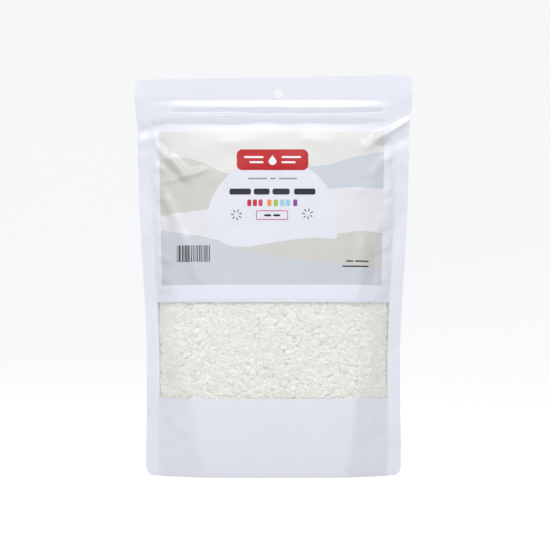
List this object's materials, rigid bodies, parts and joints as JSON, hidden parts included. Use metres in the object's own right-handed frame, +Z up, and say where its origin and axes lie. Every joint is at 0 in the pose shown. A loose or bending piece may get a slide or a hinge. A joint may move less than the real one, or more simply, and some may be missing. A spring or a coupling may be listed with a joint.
{
  "type": "stand-up pouch of granulated wax",
  "caption": "Glossy white stand-up zip pouch filled with granulated candle wax, with a front label, clear front window, tear strip, hang hole and bottom gusset.",
  "frame": {"origin": "centre of the footprint, on the plane the pouch stands on", "axes": "+Z up to the header, -Y out of the front with the label and the window, +X to the right seen from the front"},
  "size_m": [0.18, 0.0495, 0.2587],
  "materials": {
    "film_white": "glossy white laminate",
    "film_clear": "clear gloss film",
    "zip_plastic": "natural polyethylene",
    "label_stock": "gloss printed film label",
    "wax": "waxy, slightly translucent off-white"
  },
  "bodies": {
    "pouch": {"front_panel": "film_white", "back_panel": "film_white", "bottom_gusset": "film_white", "window_film": "film_clear", "wax_fill": "wax", "wax_granules_front": "wax", "wax_granules_top": "wax"},
    "front_lip": {"front_upper_film": "film_white", "front_label": "label_stock", "zip_rib_track": "zip_plastic"},
    "back_lip": {"back_upper_film": "film_white", "zip_groove_track": "zip_plastic"},
    "tear_strip": {"tear_strip": "film_white"}
  },
  "joints": [
    {"name": "mouth_front", "type": "hinge", "parent": "pouch", "child": "front_lip", "pos_m": [0, -0.0227, 0.111], "axis": [1, 0, 0], "range_deg": [0, 12]},
    {"name": "mouth_back", "type": "hinge", "parent": "pouch", "child": "back_lip", "pos_m": [0, 0.0224, 0.111], "axis": [1, 0, 0], "range_deg": [-12, 0]},
    {"name": "tear_strip_lift", "type": "slide", "parent": "pouch", "child": "tear_strip", "axis": [0, 0, 1], "range_m": [0, 0.05]}
  ],
  "couplings": [
    {"joint": "mouth_back", "follows": "mouth_front", "ratio": -1}
  ]
}
